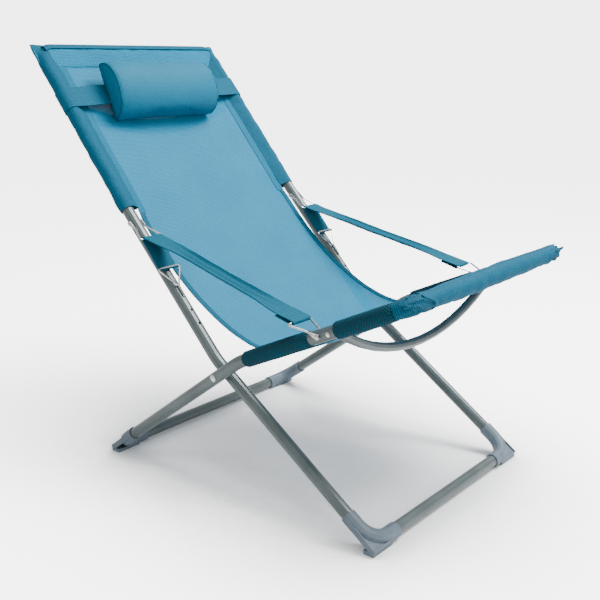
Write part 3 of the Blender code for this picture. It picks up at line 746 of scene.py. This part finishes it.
def make_corner_tip(sign, name):
    """Flattened ear of spare cloth that stands off the corner."""
    tail = []
    for k in range(13):
        t = k / 12
        reach = -0.012 + 0.034 * t
        middle = (sign * (SEAT_X - 0.012 + 0.85 * reach), SEAT_LENGTH - 0.002 + 0.50 * reach)
        wide = 0.0125 * (1 - t) ** 0.7 + 0.0018
        thick = 0.0085 * (1 - t) ** 1.3 + 0.0013
        row = []
        for j in range(20):
            a = 2 * math.pi * j / 20
            across = math.cos(a) * wide * (1 + 0.18 * math.sin(5 * a + 6 * t))
            row.append(on_seat(middle[0] - sign * 0.50 * across, middle[1] + 0.85 * across,
                               math.sin(a) * thick + 0.003 * t * t))
        tail.append(row)
    tip = grid_object(f"sling_corner_{name}", tail, GATHER_CLOTH, wrap=True)
    thicken(tip, 0.0008, -1.0)
    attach(tip, "rear_frame")
    return tip


def make_front_hem():
    stations = []
    reach = SEAT_X - 0.042
    for k in range(81):
        x = reach * (k / 40 - 1)
        beyond = max(abs(x) - (SEAT_X - SEAT_BEND), 0.0)
        middle = SEAT_LENGTH if beyond == 0 else bend_centre(SEAT_LENGTH - SEAT_BEND, SEAT_BEND, beyond)
        gather = smooth_step((abs(x) - reach + 0.050) / 0.050)
        slack = 0.15 * math.cos(math.pi * x / (2 * reach))
        mouth = 0.10 * smooth_step((abs(x) - reach + 0.02) / 0.02)
        pleat = 1 + (slack + mouth) + 0.03 * gather * math.sin(abs(x) * 900)
        loop = wrap_loop(SEAT_LENGTH - 0.027 - 0.010 * gather, middle, HEM_R * pleat,
                         SEAT_LENGTH + HEM_R + 0.001, 0.0)

        def place(a, lift, x=x):
            cut = 0.026 * smooth_step((abs(x) - reach + 0.06) / 0.06) * smooth_step(0.5 - lift / 0.020)
            return on_seat(x - math.copysign(cut, x), a, lift)

        stations.append((place, loop))
    hem = pocket("sling_front_pocket", stations, DOUBLE_CLOTH, "rear_frame")
    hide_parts("sling_front_hem")
    line = [on_seat(0.225 * (k / 60 - 1), SEAT_LENGTH - 0.0250, 0.0028) for k in range(121)]
    off, turn = 0.030, 0.9           # of the second seam, from the bar, before it is laid on the cloth
    upper = []
    for k in range(121):
        near = on_seat(0.235 * (k / 60 - 1), SEAT_LENGTH + off * math.cos(turn), off * math.sin(turn))
        upper.append(snapped(hem, near, 0.0003))
    corners = [stitches("front_hem_stitch_2", upper, THREAD, "rear_frame")]
    for sign, name in SIDES:
        corners += [make_gather(sign, name), make_corner_tip(sign, name)]
    return [hem, stitches("front_hem_stitch", line, THREAD, "rear_frame")] + corners


# ---------------------------------------------------------------- grips
GRIP_SPANS = ((0.0230, 0.2065), (0.2720, 0.4060))     # along the seat rails from their bend


def make_grip(sign, name, index, start, end):
    """Foam grip under a net, softly rounded off at its ends."""
    rows = []
    count = 30
    for k in range(41):
        t = k / 40
        w = start + (end - start) * t
        beyond = max(w - (SEAT_LENGTH - SEAT_BEND), 0.0)
        x = SEAT_X if beyond == 0 else bend_centre(SEAT_X - SEAT_BEND, SEAT_BEND, beyond)
        tip = min(w - start, end - w)
        round_off = math.sqrt(max(1 - (1 - min(tip / 0.006, 1.0)) ** 2, 0.0))
        radius = TUBE_R + 0.0005 + (GRIP_R - TUBE_R - 0.0005) * round_off
        row = []
        for j in range(count):
            a = 2 * math.pi * j / count
            p = on_seat(sign * (x + radius * math.cos(a)), w, radius * math.sin(a))
            out = (p - on_seat(sign * x, w, 0)).normalized()
            row.append(p + out * ripple(p, 0.018, 0.0005, index))
        rows.append(row)
    grip = grid_object(f"mesh_grip_{index}_{name}", rows, NET, wrap=True)
    thicken(grip, 0.0004, 1.0)
    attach(grip, "rear_frame")
    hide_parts(f"grip_{index}_{name}")
    return grip


# ---------------------------------------------------------------- arm straps
STRAP_RING = at(0.5600, 0.4650)      # where the strap goes round the ring, the guide and the seat bail
STRAP_GUIDE = at(0.6100, 0.5225)
STRAP_SEAT = at(0.1690, 0.4300)
STRAP_LIFT = WIRE_R + 0.0013
STRAP_ROLL = 0.60                    # radians that the loose middle curls by
STRAP_T = 0.0020
ARM_DIR = unit(STRAP_GUIDE, STRAP_SEAT)
ACROSS = Vector((1, 0, 0))


def between(a, b, t):
    return (a[0] + (b[0] - a[0]) * t, a[1] + (b[1] - a[1]) * t)


def round_wire(wire, angle):
    return shift(wire, (math.cos(angle), math.sin(angle)), STRAP_LIFT)


def strap_path():
    """Side-view places along a strap, each with its share of the way out from rail to rail."""
    climb = unit(STRAP_RING, STRAP_GUIDE)
    start_angle = math.atan2(-climb[0], climb[1])
    end_angle = math.atan2(-ARM_DIR[0], ARM_DIR[1])
    path = [(round_wire(STRAP_RING, start_angle - (1 - k / 4) * 2.4), 0.0) for k in range(5)]
    a = shift(STRAP_RING, (climb[1], -climb[0]), STRAP_LIFT)
    b = shift(STRAP_GUIDE, (climb[1], -climb[0]), STRAP_LIFT)
    path += [(between(a, b, k / 8), 0.0) for k in range(1, 8)]
    path += [(round_wire(STRAP_GUIDE, start_angle + (end_angle - start_angle) * k / 8), 0.0)
             for k in range(9)]
    a = shift(STRAP_GUIDE, (ARM_DIR[1], -ARM_DIR[0]), STRAP_LIFT)
    b = shift(STRAP_SEAT, (ARM_DIR[1], -ARM_DIR[0]), STRAP_LIFT)
    for k in range(1, 48):
        t = k / 48
        y, z = between(a, b, t)
        sag = 0.004 * math.sin(math.pi * t) * smooth_step((1 - t) / 0.12)
        path.append(((y, z - sag), smooth_step(t)))
    path += [(round_wire(STRAP_SEAT, end_angle + math.pi * k / 6), 1.0) for k in range(7)]
    under = shift(STRAP_SEAT, (-ARM_DIR[1], ARM_DIR[0]), STRAP_LIFT)
    for k in range(1, 8):
        back = shift(under, ARM_DIR, -0.006 * k)
        path.append(((back[0], back[1] + 0.0002 * k), 1.0))
    return path


def make_strap(sign, name):
    """Webbing arm: ring, round the guide bail, forward to the seat bail, folded back and sewn."""
    path = strap_path()
    seat_x = SEAT_X - 0.006
    centre_line = [world(sign * (RAIL_X + (seat_x - RAIL_X) * w), place) for place, w in path]
    rows = []
    threads = [[], []]
    for i, p in enumerate(centre_line):
        run = (centre_line[min(i + 1, len(path) - 1)] - centre_line[max(i - 1, 0)]).normalized()
        out = ACROSS.cross(run).normalized()
        roll = smooth_step((i - 21) / 14) * smooth_step((len(path) - 17 - i) / 12)
        roll_angle = STRAP_ROLL * roll
        row = []
        for j in range(17):
            s = j / 8 - 1
            wide = math.sin(roll_angle * s) / roll_angle if roll > 0.01 else s
            deep = (1 - math.cos(roll_angle * s)) / roll_angle if roll > 0.01 else 0.0
            ridge = 0.0009 * roll * math.cos(9.0 * s)
            q = p + ACROSS * (STRAP_HALF * wide * (1 - 0.18 * roll)) + out * (0.08 * STRAP_HALF * roll)
            q -= out * (STRAP_HALF * deep - ridge)
            row.append(q + out * ripple(q, 0.03, 0.0008, 4.0))
        rows.append(row)
        for edge in (0, 1):
            threads[edge].append(row[(1, 15)[edge]] + out * 0.0013)
    strap = grid_object(f"strap_{name}", rows, STRAP_CLOTH)
    thicken(strap, STRAP_T)
    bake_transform(strap)
    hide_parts(f"arm_strap_{name}")
    for edge, line in enumerate(threads):
        thread = stitches(f"strap_stitch_{edge + 1}_{name}", line[12:-7], THREAD)
        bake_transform(thread)


# ---------------------------------------------------------------- pillow
PILLOW_LOW_U = 0.2340       # bottom edge, up the back
PILLOW_TALL = 0.1460
PILLOW_TILT = math.radians(19)
PILLOW_X = -0.014           # slipped a little to the sitter's right
PILLOW_LIFT = -0.0040       # bottom edge, from the rails' centre lines
PILLOW_DEEP = 0.0590
PILLOW_HALF = 0.1540
BAND_U = 0.3060
BAND_HALF = 0.0270
BAND_DROP = 0.078           # of the back run's middle
BAND_SLANT = 0.03           # rise towards the sitter's left


def pillow_section(count):
    """Half-moon outline in (u, lift), leaning forward from its bottom edge on the cloth."""
    points = []
    front = count * 2 // 3
    for k in range(front):
        a = math.pi * k / front
        points.append((PILLOW_TALL / 2 * (1 + math.cos(a)), PILLOW_DEEP * math.sin(a) ** 0.9))
    for k in range(count - front):
        t = k / (count - front)
        points.append((PILLOW_TALL * t, -0.006 * math.sin(math.pi * t)))
    lean, rise = math.cos(PILLOW_TILT), math.sin(PILLOW_TILT)
    return [(PILLOW_LOW_U + u * lean - lift * rise, PILLOW_LIFT + u * rise + lift * lean)
            for u, lift in points]


PILLOW_MIDDLE = (PILLOW_LOW_U + 0.070, PILLOW_LIFT + 0.034)


def pillow_place(x, u, lift, scale):
    """Place on the pillow's outline, scaled about its middle."""
    middle_u, middle_lift = PILLOW_MIDDLE
    return on_back(PILLOW_X + x, middle_u + (u - middle_u) * scale,
                   middle_lift + (lift - middle_lift) * scale)


PILLOW_POINTS = 48          # round its section
PILLOW_RINGS = 30           # along it
PILLOW_VOXEL = 0.0050
PILLOW_PRESSURE = 4.0
PILLOW_STEPS = 20
PILLOW_SWELL = 0.006        # furthest that the simulation may move a point
PILLOW_SINK = 0.0045        # how far the cloth behind gives in its middle


def pillow_blank():
    """Half-moon bolster with slightly pinched ends, before it is filled."""
    section = pillow_section(PILLOW_POINTS)
    bm = bmesh.new()
    rings = []
    for k in range(PILLOW_RINGS + 1):
        along = 2 * k / PILLOW_RINGS - 1
        scale = 1 - 0.045 * smooth_step((abs(along) - 0.86) / 0.14)
        rings.append([bm.verts.new(pillow_place(PILLOW_HALF * along, u, lift, scale))
                      for u, lift in section])
    for a, b in zip(rings, rings[1:]):
        for j in range(PILLOW_POINTS):
            n = (j + 1) % PILLOW_POINTS
            bm.faces.new((a[j], a[n], b[n], b[j]))
    bm.faces.new(rings[0])
    bm.faces.new(rings[-1])
    bmesh.ops.recalc_face_normals(bm, faces=bm.faces)
    mesh = bpy.data.meshes.new("pillow_cover")
    bm.to_mesh(mesh)
    bm.free()
    mesh.materials.append(PILLOW_CLOTH)
    obj = bpy.data.objects.new("pillow_cover", mesh)
    bpy.context.scene.collection.objects.link(obj)
    return obj


def swell(obj):
    """Fill the cover by cloth simulation under pressure, without gravity."""
    cloth = obj.modifiers.new("cloth", "CLOTH")
    cloth.settings.use_pressure = True
    cloth.settings.uniform_pressure_force = PILLOW_PRESSURE
    cloth.settings.effector_weights.gravity = 0.0
    cloth.settings.quality = 5
    for step in range(1, PILLOW_STEPS + 1):
        bpy.context.scene.frame_set(step)
    settle(obj)
    bpy.context.scene.frame_set(1)


def make_pillow():
    obj = pillow_blank()
    remesh = obj.modifiers.new("remesh", "REMESH")
    remesh.mode = "VOXEL"
    remesh.voxel_size = PILLOW_VOXEL
    settle(obj)
    start = [v.co.copy() for v in obj.data.vertices]
    swell(obj)
    normal = Vector((0, *BACK_NORMAL))
    cloth_lift = on_back(0, 0, 0.0015).dot(normal)
    for vert, old in zip(obj.data.vertices, start):
        move = vert.co - old
        if move.length > PILLOW_SWELL:
            move = move.normalized() * PILLOW_SWELL
        place = old + move
        give = PILLOW_SINK * (1 - (place.x / STITCH_X) ** 2)
        low = cloth_lift - give - place.dot(normal)
        vert.co = place + normal * max(low, 0.0)
    finer = obj.modifiers.new("finer", "SUBSURF")
    finer.levels = 1
    finer.render_levels = 1
    settle(obj)
    obj.data.shade_smooth()
    box_uv(obj)
    return obj


def box_uv(obj):
    """UVs in metres round the pillow: along it, and round its section."""
    layer = obj.data.uv_layers.new(name="UVMap")
    up = Vector((0, *BACK_DIR))
    out = Vector((0, *BACK_NORMAL))
    middle = on_back(0, *PILLOW_MIDDLE)
    for poly in obj.data.polygons:
        end_cap = abs(poly.normal.x) > 0.8
        for i in poly.loop_indices:
            p = obj.data.vertices[obj.data.loops[i].vertex_index].co - middle
            u, lift = p.dot(up), p.dot(out)
            if end_cap:
                layer.data[i].uv = (u, lift)
            else:
                layer.data[i].uv = (p.x, math.atan2(lift, u) * 0.07)


def tube_line(name, line, radius, mat, body, closed=False):
    """Cord of cloth along a line of points."""
    curve = bpy.data.curves.new(name, "CURVE")
    curve.dimensions = "3D"
    curve.bevel_depth = radius
    curve.bevel_resolution = 3
    curve.use_fill_caps = True
    spline = curve.splines.new("POLY")
    spline.points.add(len(line) - 1)
    for point, place in zip(spline.points, line):
        point.co = (*place, 1)
    spline.use_cyclic_u = closed
    curve.materials.append(mat)
    obj = bpy.data.objects.new(name, curve)
    bpy.context.scene.collection.objects.link(obj)
    graph = bpy.context.evaluated_depsgraph_get()
    bpy.context.view_layer.update()
    mesh = bpy.data.meshes.new_from_object(obj.evaluated_get(graph))
    bpy.data.objects.remove(obj)
    made = bpy.data.objects.new(name, mesh)
    bpy.context.scene.collection.objects.link(made)
    mesh.shade_smooth()
    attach(made, body)
    return made


def snapped(obj, place, lift):
    """Nearest place on a piece's surface, raised a little."""
    hit, where, normal, _ = obj.closest_point_on_mesh(place)
    return where + normal * lift if hit else place


def make_piping(cover):
    """Raised seams round both end caps, with a row of stitches beside each."""
    section = pillow_section(96)
    pieces = []
    for sign, name in SIDES:
        seam = []
        beside = []
        for u, lift in section:
            near = pillow_place(sign * (PILLOW_HALF + 0.002), u, lift, 0.985)
            seam.append(snapped(cover, near, 0.0002))
            inner = pillow_place(sign * (PILLOW_HALF - 0.007), u, lift, 1.06)
            beside.append(snapped(cover, inner, 0.0004))
        pieces.append(tube_line(f"pillow_piping_{name}", seam, 0.0017, STRAP_CLOTH, "head_pillow", True))
        pieces.append(stitches(f"pillow_stitch_{name}", beside, THREAD, "head_pillow"))
    return pieces


def make_band():
    """Cloth band from the pillow's ends round both sleeves; its back run hangs lower."""
    clear = SLEEVE_R + 0.0026
    start_x = PILLOW_HALF - 0.026    # inside the pillow's ends
    start_lift = 0.0240
    outline = []
    for k in range(13):
        t = k / 12
        x = start_x + (RAIL_X - start_x) * t
        outline.append((x, start_lift - (start_lift - clear) * smooth_step(t * 1.2), 0.004 * (1 - t)))
    for k in range(1, 14):
        a = math.pi / 2 - math.pi * k / 13
        outline.append((RAIL_X + clear * math.cos(a), clear * math.sin(a), 0.0))
    last = RAIL_X
    for k in range(1, 25):
        x = last * (1 - k / 24)
        drop = BAND_DROP * (1 - (x / last) ** 2)
        outline.append((x, -clear - 0.004 * (1 - (x / last) ** 4), drop))
    run = list(outline)
    run += [(-x, lift, drop) for x, lift, drop in outline[-2::-1]]
    rows = []
    for x, lift, drop in run:
        row = []
        for j in range(9):
            s = j / 4 - 1
            narrow = 1 - 0.22 * (drop / BAND_DROP)
            p = on_back(x, BAND_U + BAND_SLANT * x + s * BAND_HALF * narrow - drop, lift)
            row.append(p + Vector((0, *BACK_NORMAL)) * abs(ripple(p, 0.02, 0.0012, 8.0)))
        rows.append(row)
    band = grid_object("pillow_strap_band", rows, DOUBLE_CLOTH)
    thicken(band, 0.0013)
    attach(band, "head_pillow")
    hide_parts("pillow_band")
    return band


# ---------------------------------------------------------------- stage
FLOOR_GLOW = 3.6            # painted glow that only the camera sees on the open floor; it fades into a painted shadow under the chair
SKY_LIGHT, SKY_SEEN = 1.05, 4.6
LAMPS = (
    ("key", (1.0, -0.9, 3.0), 1.5, 235.0),       # name, place, size, watts
    ("fill", (-0.6, -2.6, 1.6), 1.8, 25.0),
)


def make_floor():
    """Pale floor with a painted glow that only the camera sees; under the chair ambient occlusion takes
    that glow away, which paints a soft shadow there.
    """
    bpy.ops.mesh.primitive_plane_add(size=30, location=(0, 0, 0))
    floor = bpy.context.object
    floor.name = "studio_floor"
    mat, tree, shader = shader_material("studio_floor", 0.9)
    shader.inputs["Base Color"].default_value = (0.93, 0.93, 0.93, 1)
    shader.inputs["Specular IOR Level"].default_value = 0.1
    seen = add(tree, "ShaderNodeLightPath")
    # ambient occlusion dims the camera-only glow under the chair: a painted shadow
    open_sky = add(tree, "ShaderNodeAmbientOcclusion", samples=16, Distance=1.2)
    shade = add(tree, "ShaderNodeMapRange", interpolation_type="SMOOTHSTEP", From_Min=0.62, From_Max=0.97,
                To_Min=0.0, To_Max=FLOOR_GLOW)
    tree.links.new(open_sky.outputs["AO"], shade.inputs["Value"])
    glow = add(tree, "ShaderNodeMath", operation="MULTIPLY")
    tree.links.new(seen.outputs["Is Camera Ray"], glow.inputs[0])
    tree.links.new(shade.outputs["Result"], glow.inputs[1])
    shader.inputs["Emission Color"].default_value = (1, 1, 1, 1)
    tree.links.new(glow.outputs["Value"], shader.inputs["Emission Strength"])
    floor.data.materials.append(mat)


def make_sky():
    """White surroundings, brighter to the camera than as a light."""
    scene_world = bpy.data.worlds.new("studio")
    scene_world.use_nodes = True
    tree = scene_world.node_tree
    seen = add(tree, "ShaderNodeLightPath")
    glow = add(tree, "ShaderNodeMapRange", To_Min=SKY_LIGHT, To_Max=SKY_SEEN)
    tree.links.new(seen.outputs["Is Camera Ray"], glow.inputs["Value"])
    tree.nodes["Background"].inputs["Color"].default_value = (1, 1, 1, 1)
    tree.links.new(glow.outputs["Result"], tree.nodes["Background"].inputs["Strength"])
    bpy.context.scene.world = scene_world


def make_lamps():
    for name, place, size, power in LAMPS:
        light = bpy.data.lights.new(name, "AREA")
        light.size = size
        light.energy = power
        lamp = bpy.data.objects.new(name, light)
        lamp.location = place
        aim = Vector((0, 0, 0.4)) - lamp.location
        lamp.rotation_euler = aim.to_track_quat("-Z", "Y").to_euler()
        bpy.context.scene.collection.objects.link(lamp)


def make_camera():
    camera = bpy.data.cameras.new("camera")
    camera.sensor_width = 36.0
    camera.lens = 51.3
    view = bpy.data.objects.new("camera", camera)
    azimuth, down = math.radians(49.45), math.radians(15.75)
    view.location = (-1.4294, -0.8057 + FRONT_TIP, 0.892)
    aim = Vector((math.sin(azimuth) * math.cos(down),
                  math.cos(azimuth) * math.cos(down),
                  -math.sin(down)))
    view.rotation_euler = aim.to_track_quat("-Z", "Y").to_euler()
    bpy.context.scene.collection.objects.link(view)
    bpy.context.scene.camera = view


# ---------------------------------------------------------------- the chair
for entry in frame["record"]["subparts"]:
    if entry["material_slot"] in CARRIED:
        node = frame["nodes"][entry["node"]]
        for held in node.material_slots:
            held.material = CARRIED[entry["material_slot"]]

sling, sling_area, sling_extras = make_sling()
sling_extras += make_sleeves() + make_top_hem() + make_front_hem()
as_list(sling_extras)
for sign, name in SIDES:
    for index, (start, end) in enumerate(GRIP_SPANS, 1):
        make_grip(sign, name, index, start, end)
    make_strap(sign, name)
cover = make_pillow()
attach(cover, "head_pillow")
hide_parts("pillow")
make_piping(cover)
make_band()
make_floor()
make_sky()
make_lamps()
make_camera()
